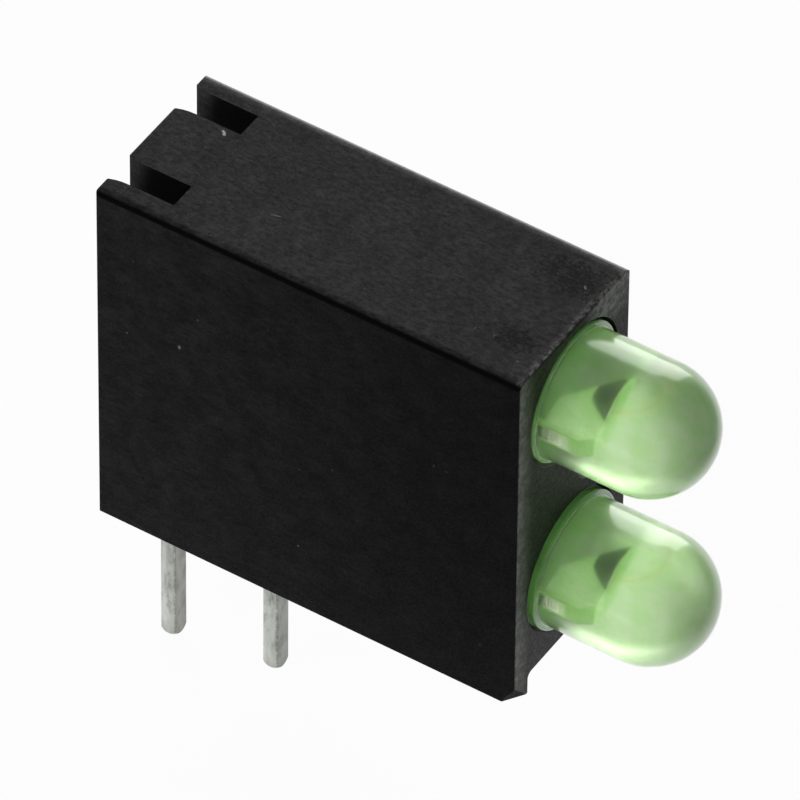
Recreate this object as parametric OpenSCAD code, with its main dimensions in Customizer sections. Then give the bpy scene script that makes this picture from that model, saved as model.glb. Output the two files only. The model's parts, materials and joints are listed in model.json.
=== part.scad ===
// Two-high circuit board LED indicator.
// Two round LEDs lie one above the other in a moulded right-angle housing. Their four leads run
// back through it and bend down to a square grid of pins: the upper LED's pins are the back row.
// The origin is the middle of the pin grid on the board's surface. +Z is up, and the LEDs look along -Y.

/* [Leads] */
// Distance between the two leads of one LED
lead_pitch = 2.54; // [2.44:0.02:2.56]
// Distance between the back row of pins and the front row
row_pitch = 2.54; // [2.3:0.02:3]
// Width of a lead
lead_w = 0.45; // [0.36:0.01:0.48]
// Thickness of a lead, and of the frame that it is stamped from
lead_t = 0.38; // [0.3:0.01:0.45]
// Radius of a lead's long corners
lead_corner_r = 0.06; // [0.03:0.01:0.1]
// Radius of a lead's bend, to the lead's middle
bend_r = 0.5; // [0.35:0.05:0.8]
// Length of a pin's rounded tip
tip_l = 0.36; // [0.3:0.02:0.6]
// How far the upper LED's pins reach below the board's surface
upper_pin_l = 3.5; // [2:0.1:5]
// How far the lower LED's pins reach below the board's surface
lower_pin_l = 3.05; // [2:0.05:5]

/* [LED lens] */
// Diameter of the lens in front of its rim
lens_d = 2.9; // [2.7:0.05:3]
// Length from the LED's back to the tip of its dome
lens_l = 4.25; // [4:0.01:5.5]
// Diameter of the rim at the LED's back
rim_d = 3.15; // [3.1:0.05:3.4]
// Thickness of the rim
rim_t = 1; // [0.8:0.05:1.2]
// Radius of the rim's front edge
rim_edge_r = 0.05; // [0.02:0.01:0.08]
// How far the upper LED's rim stands out of the housing's front face
upper_rim_proud = 0.01; // [0:0.01:0.2]
// How far the lower LED's rim stands out of the housing's front face
lower_rim_proud = 0.13; // [0:0.01:0.2]

/* [LED frame and chip] */
// Width of the chip
die_w = 0.28; // [0.2:0.01:0.34]
// Height of the chip
die_h = 0.2; // [0.1:0.01:0.24]
// Thickness of the silver epoxy under the chip
die_bond_t = 0.03; // [0.02:0.005:0.05]
// Height of the reflector cup's floor above the LED's back
cup_floor_h = 1.88; // [1.7:0.01:2]
// Depth of the reflector cup
cup_depth = 0.3; // [0.24:0.01:0.36]
// How much the cup's mouth is wider than its floor, on the radius
cup_flare = 0.18; // [0.1:0.01:0.2]
// Thickness of the cup's wall at its mouth
cup_lip_t = 0.08; // [0.05:0.01:0.12]
// Height of the solid foot of the cup, which joins it to the anvil
cup_foot_h = 0.23; // [0.16:0.01:0.35]
// Distance from the LED's axis to the outer edge of its frame, past the leads' roots
frame_out = 1.2; // [1.15:0.01:1.25]
// Height above the LED's back of the anvil's lower edge
anvil_h = 1.04; // [0.9:0.01:1.2]
// Distance from the LED's axis to where that edge turns up towards the cup
anvil_in = 0.37; // [0.3:0.01:0.5]
// Bevel on the anvil's outer front corner
anvil_bevel = 0.3; // [0.1:0.02:0.4]
// Height of the anode post above the LED's back
post_h = 2.1; // [1.7:0.01:2.4]
// Width of the anode post
post_w = 0.45; // [0.35:0.01:0.5]
// Length of a lead inside the LED before it turns inwards
root_l = 0.4; // [0.3:0.01:0.5]
// Diameter of the bond wire
wire_d = 0.03; // [0.02:0.005:0.05]
// Diameter of the ball that bonds the wire to the chip
ball_d = 0.09; // [0.07:0.005:0.12]
// Height of that ball
ball_h = 0.03; // [0.02:0.005:0.05]

/* [Housing] */
// Depth of the housing from its back face to its front face
housing_d = 10.2; // [9.6:0.1:13]
// Thickness of the side walls and of the feet under them
wall_t = 0.5; // [0.4:0.02:0.8]
// Thickness of the roof over the upper LED's hole
roof_t = 0.2; // [0.15:0.025:0.5]
// Height of the lower LED's axis above the board
lower_axis_h = 2.65; // [2.6:0.05:3.4]
// Distance between the two LEDs' axes
led_spacing = 4.8; // [4.6:0.1:6.5]
// Height of the feet, which hold the rest of the underside clear of the board
foot_h = 0.58; // [0.3:0.02:0.7]
// Distance from the back face to the middle of the back row of pins
back_margin = 1.33; // [1.1:0.01:1.8]
// Radius of the two long top edges
top_edge_r = 0.18; // [0.08:0.01:0.25]
// Radius of the other outer edges
edge_r = 0.05; // [0.02:0.01:0.08]
// Radius inside the feet, under the housing
foot_fillet_r = 0.15; // [0.05:0.01:0.25]
// How much a lead slot widens on each side at the back face
flare_w = 0.1; // [0.05:0.01:0.15]
// Depth over which a lead slot widens
flare_d = 0.45; // [0.3:0.01:0.7]

/* [Moulding marks] */
// Diameter of the round pin mark between the two LED holes
pin_mark_d = 1.1; // [0.6:0.05:1.2]
// Depth of the pin mark
pin_mark_depth = 0.3; // [0.1:0.05:0.5]
// How far the pin mark lies right of the housing's middle
pin_mark_x = 0.75; // [0.5:0.05:0.9]
// Width of the bevel where the gate was trimmed off the left front foot
bevel_w = 0.5; // [0.3:0.02:0.6]
// How far that bevel reaches back along the foot
bevel_back = 0.34; // [0.2:0.02:0.6]
// How far that bevel reaches up the foot
bevel_up = 0.57; // [0.3:0.02:0.8]

/* [Clearances] */
// Gap round an LED's rim in its hole
hole_gap = 0.075; // [0.05:0.005:0.15]
// Gap between a lead and the outer side of its slot
slot_outer_gap = 0.055; // [0.03:0.005:0.08]
// Gap between a lead and the inner side of its slot
slot_inner_gap = 0.145; // [0.05:0.005:0.2]
// Gap between a bent lead and the wall in front of it
slot_front_gap = 0.05; // [0.03:0.005:0.1]
// Gap above and below a lead in its channel
channel_gap = 0.2; // [0.1:0.01:0.25]
// Gap between the chip's corners and the edge of the cup's floor
cup_floor_gap = 0.04; // [0.02:0.005:0.06]

/* [Hidden] */
$fn = 48;

// Plan of the lead grid and the slots that the leads lie in
lead_x = lead_pitch / 2;
slot_out = lead_x + lead_w / 2 + slot_outer_gap;
slot_in = lead_x - lead_w / 2 - slot_inner_gap;
half_w = slot_out + wall_t;
back_row_y = row_pitch / 2;
front_row_y = -row_pitch / 2;
back_y = back_row_y + back_margin;
front_y = back_y - housing_d;

// Heights and the LEDs' seats
hole_r = rim_d / 2 + hole_gap;
lower_axis_z = lower_axis_h;
upper_axis_z = lower_axis_z + led_spacing;
top_z = upper_axis_z + hole_r + roof_t;
web_middle_z = (lower_axis_z + upper_axis_z) / 2;
channel_half_h = lead_t / 2 + channel_gap;
upper_seat = [0, front_y + rim_t - upper_rim_proud, upper_axis_z];
lower_seat = [0, front_y + rim_t - lower_rim_proud, lower_axis_z];

// The frame inside an LED, in the LED's own coordinates: X across, Z forwards from its back
root_out = lead_x + lead_w / 2;
root_in = lead_x - lead_w / 2;
cup_floor_r = die_w * sqrt(2) / 2 + cup_floor_gap;
cup_mouth_r = cup_floor_r + cup_flare;
cup_r = cup_mouth_r + cup_lip_t;
cup_top_h = cup_floor_h + cup_depth;
neck_h = cup_floor_h - cup_foot_h / 2;
bevel_h = cup_top_h - anvil_bevel;
post_in = frame_out - post_w;
shoulder_h = root_l + root_out - frame_out;
crotch_h = root_l / 2;
die_base_h = cup_floor_h + die_bond_t;
die_top_h = die_base_h + die_h;
ball_top_h = die_top_h + ball_h;
wire_r = wire_d / 2;
loop_r = (post_in + frame_out) / 4;
loop_h = max(ball_top_h, post_h) + wire_d;

// How far a cutting shape runs past the face that it opens
over = 0.2;

// Puts an LED's own coordinates at its seat, with its axis along -Y
module at_led(seat) {
    translate(seat) rotate([90, 0, 0]) children();
}

// Extrudes a shape drawn in Y and Z, from x = from_x to x = to_x
module across(from_x, to_x) {
    translate([from_x, 0, 0]) rotate([90, 0, 90]) linear_extrude(to_x - from_x) children();
}

// Extrudes a shape drawn in X and Z, from y = from_y to y = to_y
module along(from_y, to_y) {
    translate([0, to_y, 0]) rotate([90, 0, 0]) linear_extrude(to_y - from_y) children();
}

// What a round edge of radius r takes off a square corner at [0, 0] of a shape in the first quadrant
module corner_waste(r) {
    difference() {
        translate([-over, -over]) square(r + over);
        translate([r, r]) circle(r);
    }
}

// Rectangle from [x0, y0] to [x1, y1] with its two low corners of radius r0 and its two high ones of r1
module round_rect(x0, y0, x1, y1, r0, r1) {
    difference() {
        translate([x0, y0]) square([x1 - x0, y1 - y0]);
        translate([x0, y0]) corner_waste(r0);
        translate([x1, y0]) mirror([1, 0]) corner_waste(r0);
        translate([x0, y1]) mirror([0, 1]) corner_waste(r1);
        translate([x1, y1]) rotate(180) corner_waste(r1);
    }
}

// HOUSING

// The outside of the housing: round edges along its depth, its height and its width
module housing_block() {
    intersection() {
        along(front_y, back_y) round_rect(-half_w, 0, half_w, top_z, edge_r, top_edge_r);
        across(-half_w, half_w) round_rect(front_y, 0, back_y, top_z, edge_r, edge_r);
        linear_extrude(top_z) round_rect(-half_w, front_y, half_w, back_y, edge_r, edge_r);
    }
}

// Plan of a slot, open to the back, whose mouth widens in an arc on both sides
module slot_plan(wall_y) {
    flare_r = (flare_d * flare_d + flare_w * flare_w) / (2 * flare_w);
    flare_y = back_y - flare_d;
    translate([slot_in, wall_y]) square([slot_out - slot_in, back_y + over - wall_y]);
    difference() {
        translate([slot_in - flare_w, flare_y]) square([slot_out - slot_in + 2 * flare_w, flare_d + over]);
        translate([slot_out + flare_r, flare_y]) circle(flare_r, $fn = 96);
        translate([slot_in - flare_r, flare_y]) circle(flare_r, $fn = 96);
    }
}

// Side view of the way in which a lead comes from the LED's seat and turns down
module channel_view(row_y, seat) {
    wall_y = row_y - lead_t / 2 - slot_front_gap;
    low_z = seat.z - channel_half_h;
    turn_z = min(seat.z - bend_r, low_z);
    polygon([
        [seat.y - over, seat.z + channel_half_h],
        [wall_y + over, seat.z + channel_half_h],
        [wall_y + over, turn_z],
        [wall_y, turn_z],
        [row_y - bend_r, low_z],
        [seat.y - over, low_z]
    ]);
}

// Everything that one side's two leads need: two channels, the tall slot behind and the low one below
module lead_ways() {
    upper_wall_y = back_row_y - lead_t / 2 - slot_front_gap;
    lower_wall_y = front_row_y - lead_t / 2 - slot_front_gap;
    across(slot_in, slot_out) channel_view(back_row_y, upper_seat);
    across(slot_in, slot_out) channel_view(front_row_y, lower_seat);
    translate([0, 0, -over]) linear_extrude(top_z + 2 * over) slot_plan(upper_wall_y);
    translate([0, 0, -over]) linear_extrude(lower_axis_z + channel_half_h + over) slot_plan(lower_wall_y);
}

// The trimmed corner of the left front foot: a plane through one point on each of its three edges
module gate_bevel() {
    slope = [1 / bevel_w, 1 / bevel_back, 1 / bevel_up];
    depth = 1 / norm(slope);
    size = bevel_w + bevel_back + bevel_up;
    translate([-half_w, front_y, 0])
        rotate([0, acos(slope.z / norm(slope)), atan2(slope.y, slope.x)])
            translate([-size, -size, depth - size])
                cube([2 * size, 2 * size, size]);
}

module housing() {
    color([0.13, 0.13, 0.13]) difference() {
        housing_block();
        for (seat = [lower_seat, upper_seat])
            at_led(seat) cylinder(h = seat.y - front_y + over, r = hole_r);
        lead_ways();
        mirror([1, 0, 0]) lead_ways();
        along(front_y - over, back_y + over)
            round_rect(-slot_out, -foot_h, slot_out, foot_h, foot_fillet_r, foot_fillet_r);
        translate([pin_mark_x, front_y + pin_mark_depth, web_middle_z])
            rotate([90, 0, 0]) cylinder(h = pin_mark_depth + over, d = pin_mark_d);
        gate_bevel();
    }
}

// LED

// Outline of the lens on one side of its axis: a rim, a barrel and a half-round dome
module lens_outline() {
    lens_r = lens_d / 2;
    dome_h = lens_l - lens_r;
    difference() {
        square([rim_d / 2, rim_t]);
        translate([rim_d / 2, rim_t]) rotate(180) corner_waste(rim_edge_r);
    }
    square([lens_r, dome_h]);
    intersection() {
        translate([0, dome_h]) circle(lens_r);
        translate([0, dome_h]) square(lens_r);
    }
}

// A stamped shape of the frame, drawn in X and Z and centred on the LED's axis
module stamping() {
    rotate([90, 0, 0]) linear_extrude(lead_t, center = true) children();
}

// The anode's part of the frame: a root at the LED's back and a post beside the cup
module anode_frame() {
    stamping() polygon([
        [root_in, 0], [root_out, 0],
        [root_out, root_l], [frame_out, shoulder_h],
        [frame_out, post_h], [post_in, post_h],
        [post_in, crotch_h + root_in - post_in], [root_in, crotch_h]
    ]);
}

// The cathode's part of the frame: a root, a broad anvil and the reflector cup coined into its front edge
module cathode_frame() {
    difference() {
        union() {
            stamping() polygon([
                [-root_in, 0], [-root_in, anvil_h], [-anvil_in, anvil_h],
                [cup_floor_r, neck_h], [cup_floor_r, cup_floor_h - die_bond_t],
                [-cup_floor_r, cup_floor_h - die_bond_t], [-cup_floor_r, cup_top_h],
                [anvil_bevel - frame_out, cup_top_h], [-frame_out, bevel_h],
                [-frame_out, shoulder_h], [-root_out, root_l],
                [-root_out, 0]
            ]);
            translate([0, 0, cup_floor_h - cup_foot_h])
                cylinder(h = cup_foot_h + cup_depth, r1 = cup_floor_r, r2 = cup_r);
        }
        translate([0, 0, cup_floor_h]) cylinder(h = cup_depth, r1 = cup_floor_r, r2 = cup_mouth_r);
        translate([0, 0, cup_top_h]) cylinder(h = over, r = cup_r + over);
    }
}

// The chip, its bond and its wire stand on what carries them. The lens's cavity for them is cut with the
// same shapes run on by sink into what carries them, so that no skin of epoxy is left between.
module die_shape(sink = 0) {
    translate([-die_w / 2, -die_w / 2, die_base_h - sink]) cube([die_w, die_w, die_h + sink]);
}

module die_bond_shape(sink = 0) {
    translate([0, 0, cup_floor_h - sink]) cylinder(h = die_bond_t + sink, r = cup_floor_r - cup_floor_gap / 2);
}

// The bond wire: a ball on the chip, a half-round loop and a stitch on top of the anode post
module wire_shape(sink = 0) {
    translate([0, 0, die_top_h - sink]) cylinder(h = ball_h + sink, d = ball_d);
    translate([0, 0, die_top_h]) cylinder(h = loop_h - die_top_h, r = wire_r);
    translate([loop_r, 0, loop_h]) rotate([90, 0, 0])
        rotate_extrude(angle = 180) translate([loop_r, 0]) circle(wire_r);
    translate([2 * loop_r, 0, post_h - sink]) cylinder(h = loop_h - post_h + sink, r = wire_r);
}

// Section of a lead, its width along X
module lead_section() {
    round_rect(-lead_w / 2, -lead_t / 2, lead_w / 2, lead_t / 2, lead_corner_r, lead_corner_r);
}

// The blunt point that every pin ends in, drawn out to a height of h
module pin_envelope(h) {
    round_r = norm([lead_w, lead_t]) / 2;
    arc_r = (round_r * round_r + tip_l * tip_l) / (2 * round_r);
    rotate_extrude() intersection() {
        translate([round_r - arc_r, tip_l]) circle(arc_r, $fn = 96);
        square([round_r, tip_l]);
    }
    translate([0, 0, tip_l]) cylinder(h = h - tip_l, r = round_r);
}

// A lead outside the LED: straight back from the seat, round the bend and down to the pin's tip
module lead_tail(x, row_y, seat, pin_l) {
    pin_h = pin_l + seat.z - bend_r;
    translate([x, seat.y, seat.z]) rotate([-90, 0, 0]) linear_extrude(row_y - bend_r - seat.y) lead_section();
    translate([x, row_y - bend_r, seat.z - bend_r]) rotate([0, 90, 0]) rotate([0, 0, 90])
        rotate_extrude(angle = 90) translate([bend_r, 0]) rotate(90) lead_section();
    translate([x, row_y, -pin_l]) intersection() {
        linear_extrude(pin_h) lead_section();
        pin_envelope(pin_h + over);
    }
}

module lens(seat) {
    color([0.55, 0.85, 0.45, 0.7]) at_led(seat) difference() {
        rotate_extrude() lens_outline();
        cathode_frame();
        anode_frame();
        die_shape(die_bond_t / 2);
        die_bond_shape(die_bond_t / 2);
        wire_shape(die_bond_t / 2);
    }
}

module cathode_lead(row_y, seat, pin_l) {
    color([0.72, 0.73, 0.71]) {
        at_led(seat) cathode_frame();
        lead_tail(-lead_x, row_y, seat, pin_l);
    }
}

module anode_lead(row_y, seat, pin_l) {
    color([0.72, 0.73, 0.71]) {
        at_led(seat) anode_frame();
        lead_tail(lead_x, row_y, seat, pin_l);
    }
}

module die(seat) {
    color([0.35, 0.4, 0.2]) at_led(seat) die_shape();
}

module die_bond(seat) {
    color([0.6, 0.6, 0.58]) at_led(seat) die_bond_shape();
}

module bond_wire(seat) {
    color([0.85, 0.7, 0.3]) at_led(seat) wire_shape();
}

housing();
lens(upper_seat);  // upper_lens
cathode_lead(back_row_y, upper_seat, upper_pin_l);  // upper_cathode_lead
anode_lead(back_row_y, upper_seat, upper_pin_l);  // upper_anode_lead
die(upper_seat);  // upper_die
die_bond(upper_seat);  // upper_die_bond
bond_wire(upper_seat);  // upper_bond_wire
lens(lower_seat);  // lower_lens
cathode_lead(front_row_y, lower_seat, lower_pin_l);  // lower_cathode_lead
anode_lead(front_row_y, lower_seat, lower_pin_l);  // lower_anode_lead
die(lower_seat);  // lower_die
die_bond(lower_seat);  // lower_die_bond
bond_wire(lower_seat);  // lower_bond_wire
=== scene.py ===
import json
import math
from types import SimpleNamespace

import bmesh
import bpy
from mathutils import Matrix, Vector


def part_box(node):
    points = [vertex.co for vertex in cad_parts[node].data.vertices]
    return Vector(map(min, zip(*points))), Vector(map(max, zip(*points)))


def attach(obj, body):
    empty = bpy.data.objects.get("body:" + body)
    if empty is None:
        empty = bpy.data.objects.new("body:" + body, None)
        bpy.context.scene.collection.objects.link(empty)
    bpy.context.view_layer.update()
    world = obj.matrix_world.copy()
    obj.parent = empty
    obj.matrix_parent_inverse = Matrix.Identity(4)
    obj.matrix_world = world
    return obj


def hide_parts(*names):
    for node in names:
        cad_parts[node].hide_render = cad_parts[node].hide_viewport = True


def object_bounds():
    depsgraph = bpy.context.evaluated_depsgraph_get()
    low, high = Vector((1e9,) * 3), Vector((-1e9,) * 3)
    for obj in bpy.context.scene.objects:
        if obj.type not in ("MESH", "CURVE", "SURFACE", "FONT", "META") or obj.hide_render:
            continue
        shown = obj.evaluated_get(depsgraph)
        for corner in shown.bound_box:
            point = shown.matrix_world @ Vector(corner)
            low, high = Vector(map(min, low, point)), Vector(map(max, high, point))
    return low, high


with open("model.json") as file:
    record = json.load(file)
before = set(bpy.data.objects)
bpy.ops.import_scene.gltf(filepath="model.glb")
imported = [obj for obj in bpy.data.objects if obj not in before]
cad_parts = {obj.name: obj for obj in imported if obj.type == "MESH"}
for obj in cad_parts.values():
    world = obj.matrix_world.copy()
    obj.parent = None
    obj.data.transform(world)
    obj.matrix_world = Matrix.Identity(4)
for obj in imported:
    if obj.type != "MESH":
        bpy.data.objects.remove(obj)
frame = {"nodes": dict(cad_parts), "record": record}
cad_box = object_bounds()

MM = 0.001
housing_lo, housing_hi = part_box("housing")
upper_lens_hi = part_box("upper_lens")[1]
lower_lens_lo, lower_lens_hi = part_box("lower_lens")
seat_y = lower_lens_hi.y
lens_pitch = upper_lens_hi.z - lower_lens_hi.z
lens_middle_z = (upper_lens_hi.z + lower_lens_lo.z) / 2

# The photograph's view: angles in degrees, the image's side in pixels, the pixels per metre at the housing's
# middle, and where in the image that middle lies.
VIEW_AZIMUTH, VIEW_ELEVATION, VIEW_ROLL = -57.435, 45.322, 0.641
IMAGE_SIDE = 800
PIXELS_PER_M = 49077
MIDDLE_PX = (360.92, 390.68)
VIEW_DISTANCE = 0.28
SENSOR_WIDTH = 36
CLIP_NEAR, CLIP_FAR = 0.01, 10

# The lens, as the part's source has it, and the steps of its turned mesh: round it, and along its profile in
# the rim's back edge, in its front edge and fillet, and in the dome. HOLD is a short step next to each arc.
LENS_R = 1.45 * MM
RIM_T = 1.0 * MM
RIM_EDGE_R = 0.05 * MM
RIM_FILLET_R = 0.04 * MM
HOLD = 0.01 * MM
TURN_STEPS, BACK_STEPS, EDGE_STEPS, DOME_STEPS = 128, 4, 6, 40

# The leads: the pins' grid, width and thickness, where the lower LED's pins end, how much further down the
# upper LED's go, the anvil's thickness, and how far above or below the LED's axis the cup wall's painted shade
# begins.
PIN_PITCH, PIN_W, PIN_T = 2.54 * MM, 0.45 * MM, 0.38 * MM
PIN_TIP_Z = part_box("lower_cathode_lead")[0].z
UPPER_PIN_EXTRA = PIN_TIP_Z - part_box("upper_cathode_lead")[0].z
ANVIL_T = 0.38 * MM
CUP_CLEAR = 0.2 * MM

# How pale the nylon is painted on its sides, top and front, where light and shade are painted by face, how pale
# its wear and its painted right-edge highlight are, how near a neighbouring wall casts painted shade on it, and
# the sizes of its grain, its mottle, its clouds and its patches of wear and painted highlight.
SIDE_SHADED_GREY, TOP_LIT_GREY, FRONT_LIT_GREY, WEAR_AND_HIGHLIGHT_GREY = 0.0052, 0.0178, 0.0075, 0.13
SHELTER_REACH, SHELTER_SAMPLES = 1.2 * MM, 6
GRAIN, MOTTLE, CLOUD, PATCH = 0.06 * MM, 0.1 * MM, 0.7 * MM, 0.16 * MM

# Marks that the photograph shows on the housing: middle and half sizes in millimetres, turn about Z in
# degrees, and how pale each chip is. Smudges are black. MARK_RAG is the size of their uneven edges' bumps.
SMUDGES = (
    ((1.15, -6.75, 9.3), (0.5, 0.8, 0.5), 0),
    ((-0.93, -6.75, 9.3), (0.35, 0.6, 0.5), 0),
)
CHIPS = (
    ((0.755, 1.34, 9.3), (0.075, 0.045, 0.05), 50, 0.4),
    ((-0.655, -0.86, 9.3), (0.018, 0.14, 0.05), 15, 0.12),
    ((1.05, -7.15, 9.3), (0.025, 0.07, 0.05), -40, 0.14),
    ((-2.05, 0.58, 5.92), (0.05, 0.04, 0.05), 0, 0.12),
    ((-2.05, 0.12, 6.95), (0.05, 0.03, 0.025), 0, 0.06),
    ((-2.05, 1.86, 5.62), (0.05, 0.025, 0.03), 0, 0.06),
    ((-2.05, 1.69, 7.74), (0.05, 0.02, 0.03), 0, 0.05),
    ((-2.05, -2.32, 1.77), (0.05, 0.03, 0.03), 0, 0.1),
)
MARK_RAG = 0.08 * MM

# Scattered marks: each set of scratches as cell size and stretch, which cells hold one and how wide it is in
# cells, both from none to full, and each set of dust as cell size, chance, radius and paleness.
SCRATCHES = ((0.3 * MM, (1, 0.25, 1)), (0.4 * MM, (0.35, 1, 0.35)))
SCRATCH_CHANCE, SCRATCH_WIDTH = (0.22, 0.1), (0.05, 0.02)
DUST = ((0.5 * MM, 0.4, 0.024 * MM, 0.1), (0.24 * MM, 0.25, 0.018 * MM, 0.06))

# The epoxy: its dye's colour and density, and density, forward share and colour of each haze.
DYE_COLOUR, DYE_DENSITY = (0.4, 0.97, 0.1, 1), 170
HAZES = ((800, 0.95, (1, 1, 1, 1)), (35, 0.2, (0.55, 1, 0.33, 1)))
VOLUME_BOUNCES = 12

# The tin's stain and burrs, the silver of the sheared sides outside their painted highlight, and the cup wall's
# painted shade.
STAIN, BURR_COLOUR = (0.2, 0.22, 0.16, 1), (0.07, 0.075, 0.05, 1)
SHEARED_SILVER, CUP_SHADE_COLOUR = (0.55, 0.8, 0.4, 1), (0.05, 0.11, 0.03, 1)

# The floor: its half side, its own grey, and how much of it is plain white to the camera, gloss and glass. To
# gloss that white is dim to the left of SHADE_EDGE, in the object's shade, lit to the right of it, bright again
# beyond FLOOR_FADE and dim in front of FRONT_EDGE. Each of these edges runs between its two values.
FLOOR_HALF, FLOOR_GREY, FLOOR_PLAIN = 2.0, 0.85, 0.95
SHADE_EDGE, FLOOR_FADE, FRONT_EDGE = (-6 * MM, -4 * MM), (20 * MM, 80 * MM), (-14 * MM, -22 * MM)
SHADE_GLOW, LIT_GLOW, FAR_GLOW, FRONT_GLOW = 0.03, 1.0, 1.0, 0.2

# The room's light away from its white back wall, and the wall's two fades: along which direction, and from
# which share of it to which.
ROOM_LIGHT = 0.12
WALL_FADES = (((0.75, 0.66, 0), 0.55, 0.85), ((0, 0, 1), 0.75, 0.35))

# The lamps: direction from the housing in units of LAMP_DISTANCE, width, height and power in watts.
LAMP_DISTANCE = 0.2
BACK_LAMP = (0.75, 0.57, 0.34), 0.3, 0.17, 0.47
LEFT_LAMP = (-0.9, -0.2, 0.35), 0.35, 0.3, 0.45
FRONT_LAMP = (0.3, -0.9, 0.3), 0.16, 0.16, 0.04


# The span in which most of a noise's values lie, and the share of a normal that counts as facing one way.
NOISE_SPAN, FACING = (0.3, 0.7), (0.6, 0.9)


def grey(value):
    return (value, value, value, 1)


# NODES


class Nodes:
    """Short calls for the nodes of one tree. What feeds a node is a socket or a plain value."""

    def __init__(self, tree, coordinates="Object"):
        self.tree = tree
        self.place = self.add("ShaderNodeTexCoord").outputs[coordinates]

    def add(self, kind, **settings):
        node = self.tree.nodes.new(kind)
        for name, value in settings.items():
            setattr(node, name, value)
        return node

    def feed(self, source, node, socket):
        if isinstance(source, bpy.types.NodeSocket):
            self.tree.links.new(source, node.inputs[socket])
        elif source is not None:
            node.inputs[socket].default_value = source

    def ramp(self, value, low, high, to_low=0.0, to_high=1.0):
        node = self.add("ShaderNodeMapRange", interpolation_type="SMOOTHSTEP")
        self.feed(value, node, "Value")
        for socket, number in zip(("From Min", "From Max", "To Min", "To Max"), (low, high, to_low, to_high)):
            self.feed(number, node, socket)
        return node.outputs["Result"]

    def math(self, operation, a, b=None, c=None, clamp=False):
        node = self.add("ShaderNodeMath", operation=operation, use_clamp=clamp)
        for socket, source in enumerate((a, b, c)):
            self.feed(source, node, socket)
        return node.outputs[0]

    def times(self, *values):
        product = values[0]
        for value in values[1:]:
            product = self.math("MULTIPLY", product, value)
        return product

    def blend(self, share, a, b):
        """A number between a and b."""
        node = self.add("ShaderNodeMix", data_type="FLOAT")
        self.feed(share, node, 0)
        self.feed(a, node, 2)
        self.feed(b, node, 3)
        return node.outputs[0]

    def mix(self, share, a, b):
        """A colour between a and b."""
        node = self.add("ShaderNodeMix", data_type="RGBA")
        self.feed(share, node, 0)
        self.feed(a, node, 6)
        self.feed(b, node, 7)
        return node.outputs[2]

    def axis(self, name, source=None):
        node = self.add("ShaderNodeSeparateXYZ")
        self.feed(source or self.place, node, 0)
        return node.outputs[name]

    def vector(self, operation, a, b=None):
        """A number worked out from vectors."""
        node = self.add("ShaderNodeVectorMath", operation=operation)
        self.feed(a, node, 0)
        self.feed(b, node, 1)
        return node.outputs["Value"]

    def seen_by(self, *kinds, level=0):
        """A level, or 1 to these kinds of ray."""
        path = self.add("ShaderNodeLightPath")
        for kind in kinds:
            level = self.math("MAXIMUM", level, path.outputs[kind])
        return level


class Finish(Nodes):
    """A Principled material, with the textures that feed it."""

    def __init__(self, name, **sockets):
        self.material = bpy.data.materials.new(name)
        self.material.use_nodes = True
        super().__init__(self.material.node_tree)
        self.shader = self.tree.nodes["Principled BSDF"]
        for socket, value in sockets.items():
            self.shader.inputs[socket.replace("_", " ")].default_value = value

    def follow(self, noise, low, high):
        """A number from low to high, as a noise goes over the span in which most of it lies."""
        return self.ramp(noise, *NOISE_SPAN, low, high)

    def stretched(self, x, y, z):
        node = self.add("ShaderNodeMapping", vector_type="POINT")
        self.feed(self.place, node, "Vector")
        node.inputs["Scale"].default_value = (x, y, z)
        return node.outputs[0]

    def noise(self, size, detail=2, rough=0.5, place=None):
        node = self.add("ShaderNodeTexNoise")
        self.feed(place or self.place, node, "Vector")
        node.inputs["Scale"].default_value = 1 / size
        node.inputs["Detail"].default_value = detail
        node.inputs["Roughness"].default_value = rough
        return node.outputs["Fac"]

    def specks(self, size, place=None):
        """How far the nearest point of a scatter is, in cells of this size, and its random colour."""
        node = self.add("ShaderNodeTexVoronoi")
        self.feed(place or self.place, node, "Vector")
        node.inputs["Scale"].default_value = 1 / size
        return node.outputs["Distance"], node.outputs["Color"]

    def near(self, place, half_size, turn):
        """How far off a mark's middle a point is, 1 at the mark's uneven edge."""
        node = self.add("ShaderNodeMapping", vector_type="TEXTURE")
        self.feed(self.place, node, "Vector")
        node.inputs["Location"].default_value = [v * MM for v in place]
        node.inputs["Scale"].default_value = [v * MM for v in half_size]
        node.inputs["Rotation"].default_value = (0, 0, math.radians(turn))
        uneven = self.follow(self.noise(MARK_RAG, 3), -0.35, 0.35)
        return self.math("ADD", self.vector("LENGTH", node.outputs[0]), uneven)

    def colour(self, source):
        self.feed(source, self.shader, "Base Color")

    def roughness(self, source):
        self.feed(source, self.shader, "Roughness")

    def bump(self, *layers):
        """Each layer is a height source and the real height in metres of its full range."""
        normal = None
        for height, depth in layers:
            node = self.add("ShaderNodeBump")
            node.inputs["Strength"].default_value = 1
            node.inputs["Distance"].default_value = depth
            self.feed(height, node, "Height")
            self.feed(normal, node, "Normal")
            normal = node.outputs[0]
        self.feed(normal, self.shader, "Normal")


# CAMERA, LAMPS AND FLOOR


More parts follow.
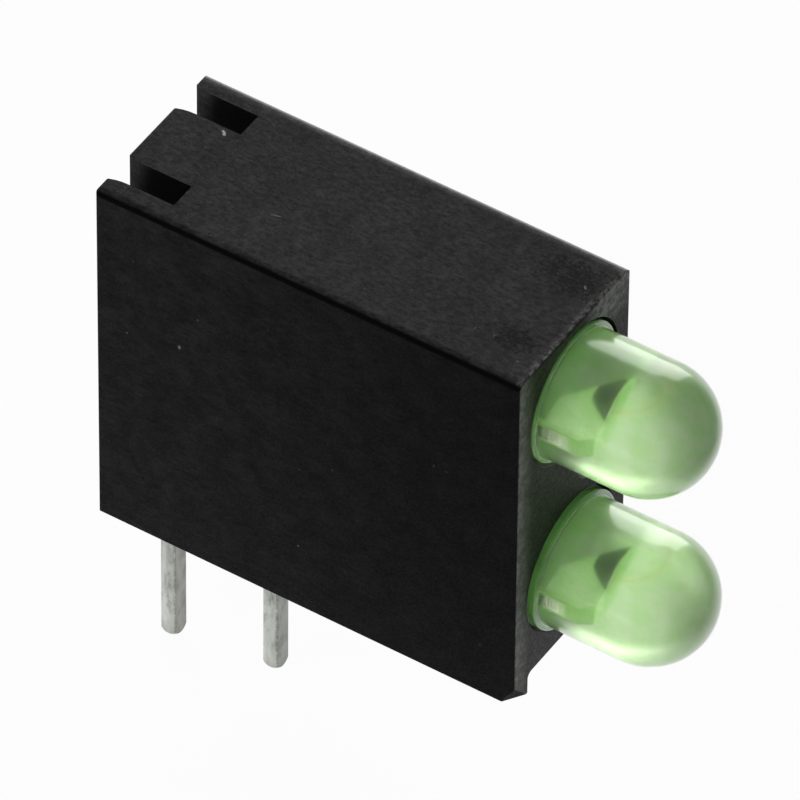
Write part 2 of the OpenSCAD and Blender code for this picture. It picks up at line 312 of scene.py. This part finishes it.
def make_camera():
    a, e, roll = (math.radians(v) for v in (VIEW_AZIMUTH, VIEW_ELEVATION, VIEW_ROLL))
    back = Vector((math.sin(a) * math.cos(e), -math.cos(a) * math.cos(e), math.sin(e)))
    level = Vector((math.cos(a), math.sin(a), 0))
    plumb = back.cross(level)
    right = math.cos(roll) * level + math.sin(roll) * plumb
    up = math.cos(roll) * plumb - math.sin(roll) * level
    data = bpy.data.cameras.new("camera")
    data.sensor_width = SENSOR_WIDTH
    data.lens = SENSOR_WIDTH * PIXELS_PER_M * VIEW_DISTANCE / IMAGE_SIDE
    data.clip_start, data.clip_end = CLIP_NEAR, CLIP_FAR
    camera = bpy.data.objects.new("camera", data)
    bpy.context.scene.collection.objects.link(camera)
    half = IMAGE_SIDE / 2
    middle = (housing_lo + housing_hi) / 2
    place = middle + back * VIEW_DISTANCE
    place += right * (half - MIDDLE_PX[0]) / PIXELS_PER_M
    place -= up * (half - MIDDLE_PX[1]) / PIXELS_PER_M
    camera.matrix_world = Matrix.Translation(place) @ Matrix((right, up, back)).transposed().to_4x4()
    bpy.context.scene.camera = camera


def make_lamp(name, direction, width, height, power):
    aim = (housing_lo + housing_hi) / 2
    data = bpy.data.lights.new(name, "AREA")
    data.shape = "RECTANGLE"
    data.size, data.size_y = width, height
    data.energy = power
    lamp = bpy.data.objects.new(name, data)
    bpy.context.scene.collection.objects.link(lamp)
    lamp.location = aim + LAMP_DISTANCE * Vector(direction)
    lamp.rotation_euler = (aim - lamp.location).to_track_quat("-Z", "Y").to_euler()
    return lamp


def make_world():
    """White to the camera and through glass, and else a white back wall with a dimmer room around it."""
    world = bpy.data.worlds.new("studio")
    bpy.context.scene.world = world
    world.use_nodes = True
    n = Nodes(world.node_tree, "Generated")
    background = world.node_tree.nodes["Background"]
    background.inputs["Color"].default_value = grey(1)
    fades = [n.ramp(n.vector("DOT_PRODUCT", n.place, axis), near, far) for axis, near, far in WALL_FADES]
    room = n.blend(n.times(*fades), ROOM_LIGHT, 1)
    n.feed(n.seen_by("Is Camera Ray", "Is Transmission Ray", level=room), background, "Strength")


def floor_glow(n):
    """How bright the floor's plain white is: 1 to the camera and through glass, and uneven to gloss."""
    glow = n.ramp(n.axis("X"), *SHADE_EDGE, SHADE_GLOW, LIT_GLOW)
    glow = n.ramp(n.vector("LENGTH", n.place), *FLOOR_FADE, glow, FAR_GLOW)
    glow = n.ramp(n.axis("Y"), *FRONT_EDGE, glow, FRONT_GLOW)
    # A ray through rough glass counts as glossy too, so only gloss that isn't glass takes the uneven floor.
    path = n.add("ShaderNodeLightPath").outputs
    only_gloss = n.math("SUBTRACT", path["Is Glossy Ray"], path["Is Transmission Ray"], clamp=True)
    return n.blend(only_gloss, 1, glow)


def floor_finish():
    """A pale matt floor, mostly plain white to the camera, gloss and glass, that keeps a faint shadow."""
    material = bpy.data.materials.new("floor")
    material.use_nodes = True
    material.node_tree.nodes.clear()
    n = Nodes(material.node_tree)
    matt = n.add("ShaderNodeBsdfDiffuse")
    matt.inputs["Color"].default_value = grey(FLOOR_GREY)
    glow = n.add("ShaderNodeEmission")
    n.feed(floor_glow(n), glow, "Strength")
    seen = n.seen_by("Is Camera Ray", "Is Glossy Ray", "Is Transmission Ray")
    mix = n.add("ShaderNodeMixShader")
    for socket, source in enumerate((n.times(seen, FLOOR_PLAIN), matt.outputs[0], glow.outputs[0])):
        n.feed(source, mix, socket)
    n.feed(mix.outputs[0], n.add("ShaderNodeOutputMaterial"), "Surface")
    return material


def make_floor():
    mesh = bpy.data.meshes.new("floor")
    side, z = FLOOR_HALF, cad_box[0].z
    corners = [(-side, -side, z), (side, -side, z), (side, side, z), (-side, side, z)]
    mesh.from_pydata(corners, [], [(0, 1, 2, 3)])
    mesh.materials.append(floor_finish())
    floor = bpy.data.objects.new("floor", mesh)
    bpy.context.scene.collection.objects.link(floor)


# THE HOUSING


def housing_zones(f):
    """Place and upward normal on the housing, and masks that are 1 on a face, on an edge or in a depth."""
    lo, hi = housing_lo, housing_hi
    x, y, z = (f.axis(name) for name in "XYZ")
    normal = f.add("ShaderNodeTexCoord").outputs["Normal"]
    nx, ny, nz = (f.axis(name, normal) for name in "XYZ")
    within = f.ramp(f.math("ABSOLUTE", x), hi.x - 0.1 * MM, hi.x - 0.2 * MM)
    down = f.ramp(nz, -0.1, -0.3)
    return SimpleNamespace(
        x=x, y=y, z=z, nz=nz, down=down,
        up=f.ramp(nz, *FACING),
        ahead=f.times(f.ramp(f.times(ny, -1), *FACING), f.ramp(down, 1, 0)),
        in_slot=f.times(within, f.ramp(f.math("ABSOLUTE", nx), *FACING),
                        f.ramp(y, hi.y - 0.8 * MM, hi.y - 0.3 * MM)),
        in_depth=f.times(within, f.ramp(nz, 0.9, 0.6), f.ramp(y, hi.y - 0.2 * MM, hi.y - 0.75 * MM),
                         f.ramp(y, lo.y + 0.02 * MM, lo.y + 0.1 * MM)),
        left_edge=f.times(f.ramp(nz, 0.1, 0.25), f.ramp(nz, 0.85, 0.6), f.ramp(nx, -0.1, -0.3)),
        right_edge=f.times(f.ramp(nx, 0.1, 0.5), f.ramp(nz, 0.1, 0.4)),
    )


def nylon_with_painted_shade(f, at, mottle):
    """How pale the nylon is before wear, with painted light and shade: dark sides that pale towards the back, a
    lit top, lit slot walls and a lit front, shaded downward faces, painted shade near walls, mottle that is
    stronger on the top, black smudges, and black painted shade in its depths and on its left edge.
    """
    # Painted light and shade: the sides are darker than the top and front and pale towards the back, the slot
    # walls near the open back are lit, and faces that look down are darker.
    side = f.ramp(at.y, housing_lo.y, housing_hi.y, 0.7 * SIDE_SHADED_GREY, 1.8 * SIDE_SHADED_GREY)
    side = f.blend(at.in_slot, f.blend(at.down, side, 0.4 * SIDE_SHADED_GREY), 1.5 * TOP_LIT_GREY)
    plain = f.blend(at.ahead, f.blend(at.up, side, TOP_LIT_GREY), FRONT_LIT_GREY)
    mottled = f.math("MULTIPLY_ADD", f.ramp(mottle, 0.32, 0.68, -1, 1), f.blend(at.up, 0.45, 0.68), 1)
    clouded = f.ramp(f.noise(CLOUD, 4, 0.6), 0.35, 0.68, 0.8, 1.25)
    # Painted shade: the nylon darkens near neighbouring walls and in crevices.
    shelter = f.add("ShaderNodeAmbientOcclusion", samples=SHELTER_SAMPLES)
    shelter.inputs["Distance"].default_value = SHELTER_REACH
    crevice_shade = f.ramp(shelter.outputs["AO"], 0.3, 0.75, 0.1, 1)
    # Painted shade: the depths of the slots and holes go nearly black.
    shade = f.times(plain, mottled, clouded, crevice_shade, f.ramp(at.in_depth, 0, 1, 1, 0.05))
    for mark in SMUDGES:
        smudge = f.times(f.ramp(f.near(*mark), 1.2, 0.5), f.ramp(mottle, 0.66, 0.45, 0.2, 0.85))
        shade = f.blend(smudge, shade, 0)
    # Painted shade: the near rounded top edge on the left is nearly black.
    return f.blend(at.left_edge, shade, 0.1 * SIDE_SHADED_GREY)


def nylon_wear_and_highlight(f, at, shade):
    """The nylon with a patchy painted highlight along the right top edge and a paler one on the right rounded
    edge, and with patchy wear above the upper LED and at the left front corner.
    """
    lo, hi = housing_lo, housing_hi
    patches = f.ramp(f.noise(PATCH, 4, 0.7), 0.42, 0.62)
    # Painted highlight, patchy: the top pales towards the right edge.
    right_top_highlight = f.times(f.ramp(at.nz, 0.2, 0.4), f.ramp(at.x, hi.x - 0.3 * MM, hi.x - 0.1 * MM),
                        f.blend(patches, 0.5, 1))
    lip_top = f.times(at.up, f.ramp(at.y, lo.y + 0.22 * MM, lo.y), patches)
    lip_front = f.times(at.ahead, f.ramp(at.z, hi.z - 1.3 * MM, hi.z - 0.2 * MM),
                        f.ramp(at.x, 0.2 * MM, 1.2 * MM), f.blend(patches, 0.35, 1.6))
    corner = f.times(at.ahead, f.ramp(at.x, lo.x + 0.6 * MM, lo.x), f.blend(patches, 0.45, 1))
    for wear in (right_top_highlight, lip_top, lip_front, corner):
        shade = f.blend(wear, shade, WEAR_AND_HIGHLIGHT_GREY)
    # Painted highlight: the rounded right edge is pale.
    return f.blend(at.right_edge, shade, 2.5 * WEAR_AND_HIGHLIGHT_GREY)


def scratches(f):
    """1 in a scatter of short scratches."""
    scratched = 0
    for size, stretch in SCRATCHES:
        distance, pick = f.specks(size, f.stretched(*stretch))
        picked = f.ramp(f.axis("Y", pick), *SCRATCH_CHANCE)
        scratched = f.math("MAXIMUM", scratched, f.times(f.ramp(distance, *SCRATCH_WIDTH), picked))
    return scratched


def dusty_nylon(f, at, shade):
    """The nylon with dust, more of it near the front and the top edges, and with its chips."""
    front_or_top = f.math("MAXIMUM", f.ramp(at.y, housing_lo.y + 0.5 * MM, housing_lo.y),
                          f.ramp(at.z, housing_hi.z - 0.3 * MM, housing_hi.z))
    for size, chance, radius, paleness in DUST:
        distance, pick = f.specks(size)
        picked = f.ramp(f.axis("X", pick), f.blend(front_or_top, chance, 2 * chance), 0)
        dust = f.times(f.ramp(distance, radius / size, 0.4 * radius / size), picked, f.blend(at.up, 0.5, 1))
        shade = f.blend(dust, shade, paleness)
    for *mark, paleness in CHIPS:
        shade = f.blend(f.ramp(f.near(*mark), 1.1, 0.6), shade, paleness)
    return shade


def housing_finish():
    """Spark-eroded black nylon with painted light and shade on its faces, rougher and with black painted shade
    in its depths and along its left edge, and with a painted highlight along its right edge.
    """
    f = Finish("black_nylon", Specular_IOR_Level=0.25)
    at = housing_zones(f)
    grain = f.noise(GRAIN, 3, 0.6)
    mottle = f.noise(MOTTLE, 6, 0.75, f.stretched(1, 0.45, 1))
    scratched = scratches(f)
    shade = nylon_wear_and_highlight(f, at, nylon_with_painted_shade(f, at, mottle))
    shade = f.blend(f.times(scratched, f.blend(at.up, 0.15, 0.5)), shade, 2 * WEAR_AND_HIGHLIGHT_GREY)
    f.colour(f.mix(dusty_nylon(f, at, shade), grey(0), (1, 1, 0.98, 1)))
    rough = f.blend(at.ahead, f.follow(grain, 0.75, 0.95), f.follow(grain, 0.5, 0.7))
    f.roughness(f.blend(f.math("MAXIMUM", at.left_edge, at.in_depth), rough, 0.9))
    f.bump((mottle, 0.012 * MM), (grain, 0.005 * MM), (scratched, -0.004 * MM))
    return f.material


# THE LEDS


def epoxy_inside(f):
    """The volume of the epoxy: its dye and its hazes."""
    dye = f.add("ShaderNodeVolumeAbsorption")
    dye.inputs["Color"].default_value = DYE_COLOUR
    dye.inputs["Density"].default_value = DYE_DENSITY
    inside = dye.outputs[0]
    for density, forward, colour in HAZES:
        haze = f.add("ShaderNodeVolumeScatter")
        haze.inputs["Color"].default_value = colour
        haze.inputs["Density"].default_value = density
        haze.inputs["Anisotropy"].default_value = forward
        both = f.add("ShaderNodeAddShader")
        f.feed(inside, both, 0)
        f.feed(haze.outputs[0], both, 1)
        inside = both.outputs[0]
    return inside


def lens_finish():
    """Hazy green epoxy with a deeper green rim. What the housing holds of it is pale and opaque."""
    f = Finish("green_epoxy", IOR=1.5, Coat_Weight=0.5, Coat_Roughness=0.08)
    height = f.math("ABSOLUTE", f.axis("Y"))
    rim = f.ramp(height, RIM_T + 0.02 * MM, RIM_T)
    held = f.ramp(height, RIM_T - 0.14 * MM, RIM_T - 0.24 * MM)
    f.feed(f.blend(held, f.ramp(rim, 0, 1, 0.97, 0.3), 0), f.shader, "Transmission Weight")
    swirl = f.noise(0.5 * MM, 3, 0.55, f.stretched(1, 0.6, 1))
    body_colour = f.mix(f.ramp(swirl, 0.35, 0.65), (0.8, 0.98, 0.62, 1), (0.97, 1.0, 0.88, 1))
    rim_colour = f.mix(swirl, (0.07, 0.2, 0.04, 1), (0.16, 0.36, 0.1, 1))
    f.colour(f.mix(held, f.mix(rim, body_colour, rim_colour), (0.92, 1.0, 0.85, 1)))
    f.roughness(f.follow(f.noise(0.8 * MM), 0.2, 0.24))
    f.bump((f.noise(0.3 * MM), 0.002 * MM))
    f.feed(epoxy_inside(f), f.tree.nodes["Material Output"], "Volume")
    return f.material


def pin_section(f, x, y):
    """How far behind a pin's middle a point lies, and where the pin's front edges have ragged burrs."""
    aside = f.math("SUBTRACT", f.math("ABSOLUTE", x), PIN_PITCH / 2)
    behind = f.math("SUBTRACT", y, f.math("MULTIPLY", f.math("SIGN", y), PIN_PITCH / 2))
    edge = f.times(f.ramp(f.math("ABSOLUTE", aside), PIN_W / 2 - 0.045 * MM, PIN_W / 2),
                   f.ramp(behind, -PIN_T / 2 + 0.06 * MM, -PIN_T / 2))
    return behind, f.times(edge, f.ramp(f.noise(0.09 * MM, 4, 0.7), 0.42, 0.56))


def tin_colour(f, y, z, sheared, streak, blotch, behind, burr):
    """Dull tin: paler on its sheared sides, partly their own finish and partly painted light, stained in
    blotches, darker towards the tips, and dark on the burrs.
    """
    # Partly painted light: the sheared sides are a paler copy of the tin than the rolled faces.
    rolled_colour = f.mix(streak, (0.2, 0.21, 0.19, 1), (0.36, 0.36, 0.34, 1))
    sheared_colour = f.mix(streak, (0.5, 0.52, 0.48, 1), (0.72, 0.74, 0.7, 1))
    front_colour = f.mix(0.3, sheared_colour, (0.2, 0.22, 0.17, 1))
    sheared_colour = f.mix(f.ramp(behind, -PIN_T / 2, PIN_T / 2), front_colour, sheared_colour)
    tin = f.mix(sheared, rolled_colour, sheared_colour)
    tin = f.mix(f.ramp(blotch, 0.5, 0.7, 0, 0.4), tin, STAIN)
    level_z = f.math("ADD", z, f.ramp(y, -0.1 * MM, 0.1 * MM, 0, UPPER_PIN_EXTRA))
    tip = f.ramp(level_z, PIN_TIP_Z + 0.6 * MM, PIN_TIP_Z)
    tin = f.mix(f.times(tip, 0.35), tin, STAIN)
    return f.mix(f.times(burr, 0.7), tin, BURR_COLOUR)


def silver_colour(f, ny, sheared, streak, painted_highlight, off_axis):
    """The silver that shows through the lens: its sheared sides carry a white painted highlight near the rim,
    and the back of the cup wall carries dark painted shade.
    """
    # Painted shade: the cup's outer wall that faces back is dark.
    cup_shade = f.times(f.ramp(off_axis, CUP_CLEAR, CUP_CLEAR + 0.03 * MM), f.ramp(ny, 0.0, 0.1))
    flat = f.mix(streak, (0.75, 0.93, 0.6, 1), (0.85, 1, 0.72, 1))
    silver = f.mix(sheared, flat, f.mix(painted_highlight, SHEARED_SILVER, grey(1)))
    return f.mix(cup_shade, silver, CUP_SHADE_COLOUR)


def lead_finish():
    """Dull tin on a stamped strip, which is silver in the lens."""
    f = Finish("dull_tin", Metallic=1.0)
    x, y, z = (f.axis(name) for name in "XYZ")
    normal = f.add("ShaderNodeTexCoord").outputs["Normal"]
    sheared = f.ramp(f.math("ABSOLUTE", f.axis("X", normal)), 0.5, 0.8)
    streak = f.noise(0.12 * MM, 3, place=f.stretched(1, 1, 0.15))
    blotch = f.noise(0.2 * MM, 5, 0.7, f.stretched(1, 1, 0.4))
    above_row = f.math("ABSOLUTE", f.math("SUBTRACT", z, lens_middle_z))
    off_axis = f.math("ABSOLUTE", f.math("SUBTRACT", above_row, lens_pitch / 2))
    # A painted highlight on the anvil's sheared sides near the rim, where the silver is also glossier.
    painted_highlight = f.times(f.ramp(off_axis, 0.5 * ANVIL_T, 0.3 * ANVIL_T),
                    f.ramp(y, seat_y - 1.7 * MM, seat_y - 1.35 * MM))
    behind, burr = pin_section(f, x, y)
    tin = tin_colour(f, y, z, sheared, streak, blotch, behind, burr)
    silver = silver_colour(f, f.axis("Y", normal), sheared, streak, painted_highlight, off_axis)
    in_lens = f.ramp(y, seat_y + 0.1 * MM, seat_y)
    f.colour(f.mix(in_lens, tin, silver))
    silver_rough = f.blend(f.times(sheared, painted_highlight), f.follow(streak, 0.55, 0.7), 0.25)
    f.roughness(f.blend(in_lens, f.follow(blotch, 0.28, 0.55), silver_rough))
    f.bump((streak, 0.006 * MM), (blotch, 0.012 * MM), (burr, 0.01 * MM))
    return f.material


def grained_finish(name, texture, dark, pale, rough, depth, **sockets):
    """A small piece's material, whose colour, roughness and bump all follow one noise."""
    f = Finish(name, **sockets)
    size, detail, stretch = texture
    grain = f.noise(size, detail, place=f.stretched(*stretch))
    f.colour(f.mix(grain, (*dark, 1), (*pale, 1)))
    f.roughness(f.follow(grain, *rough))
    f.bump((grain, depth))
    return f.material


def lens_profile(rim_r, length):
    """Half outline of a lens as (radius, height above its back), from the middle of its back to its tip."""
    def arc(middle_r, middle_h, radius, start, end, steps):
        for i in range(steps + 1):
            t = math.radians(start + (end - start) * i / steps)
            yield middle_r + radius * math.cos(t), middle_h + radius * math.sin(t)

    e, c = RIM_EDGE_R, RIM_FILLET_R
    dome_h = length - LENS_R
    points = [(rim_r - e - HOLD, 0)]
    points += arc(rim_r - e, e, e, -90, 0, BACK_STEPS)
    points += [(rim_r, e + HOLD), (rim_r, RIM_T - e - HOLD)]
    points += arc(rim_r - e, RIM_T - e, e, 0, 90, EDGE_STEPS)
    points += arc(LENS_R + c, RIM_T + c, c, -90, -180, EDGE_STEPS)
    points += [(LENS_R, RIM_T + c + HOLD), (LENS_R, dome_h - HOLD)]
    points += arc(0, dome_h, LENS_R, 0, 90, DOME_STEPS)
    return points


def turned_mesh(name, profile):
    """A closed mesh turned about -Y from (radius, height) points, of which the last is on the axis."""
    turns = [2 * math.pi * i / TURN_STEPS for i in range(TURN_STEPS)]
    bm = bmesh.new()
    rings = [[bm.verts.new((r * math.cos(t), -h, r * math.sin(t))) for t in turns] for r, h in profile[:-1]]
    tip = bm.verts.new((0, -profile[-1][1], 0))
    bm.faces.new(rings[0])
    for a, b in zip(rings, rings[1:]):
        for i in range(TURN_STEPS):
            j = (i + 1) % TURN_STEPS
            bm.faces.new((a[i], a[j], b[j], b[i]))
    for i in range(TURN_STEPS):
        bm.faces.new((rings[-1][i], rings[-1][(i + 1) % TURN_STEPS], tip))
    bmesh.ops.recalc_face_normals(bm, faces=bm.faces)
    mesh = bpy.data.meshes.new(name)
    bm.to_mesh(mesh)
    bm.free()
    mesh.shade_smooth()
    return mesh


def make_lens(name, node, finish):
    """A lens turned about its own Y axis, with its origin in the middle of its back."""
    lo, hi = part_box(node)
    mesh = turned_mesh(name, lens_profile((hi.x - lo.x) / 2, hi.y - lo.y))
    mesh.materials.append(finish)
    lens = bpy.data.objects.new(name, mesh)
    lens.location = ((lo.x + hi.x) / 2, hi.y, (lo.z + hi.z) / 2)
    bpy.context.scene.collection.objects.link(lens)
    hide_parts(node)
    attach(lens, "root")


def dress_nodes():
    """A material for each carried-over CAD node, by its slot."""
    finishes = {
        "housing": housing_finish(),
        "lead": lead_finish(),
        "chip": grained_finish("chip", (0.02 * MM, 2, (1, 1, 0.2)), (0.26, 0.32, 0.13), (0.36, 0.42, 0.2),
                               (0.25, 0.45), 0.001 * MM, Specular_IOR_Level=0.6),
        "silver_epoxy": grained_finish("silver_epoxy", (0.012 * MM, 3, (1, 1, 1)), (0.48, 0.48, 0.46),
                                       (0.7, 0.7, 0.68), (0.35, 0.6), 0.003 * MM, Metallic=0.6),
        "gold": grained_finish("gold", (0.01 * MM, 2, (1, 1, 1)), (0.82, 0.64, 0.25), (0.9, 0.72, 0.32),
                               (0.15, 0.3), 0.0005 * MM, Metallic=1.0),
    }
    for subpart in frame["record"]["subparts"]:
        finish = finishes.get(subpart["material_slot"])
        if finish:
            materials = frame["nodes"][subpart["node"]].data.materials
            materials.clear()
            materials.append(finish)


make_camera()
make_world()
make_floor()
make_lamp("back", *BACK_LAMP)
make_lamp("left", *LEFT_LAMP).visible_glossy = False
make_lamp("front", *FRONT_LAMP).visible_glossy = False
dress_nodes()
lens_material = lens_finish()
make_lens("upper_lens_body", "upper_lens", lens_material)
make_lens("lower_lens_body", "lower_lens", lens_material)

bpy.context.scene.view_settings.view_transform = "Standard"
bpy.context.scene.cycles.volume_bounces = VOLUME_BOUNCES
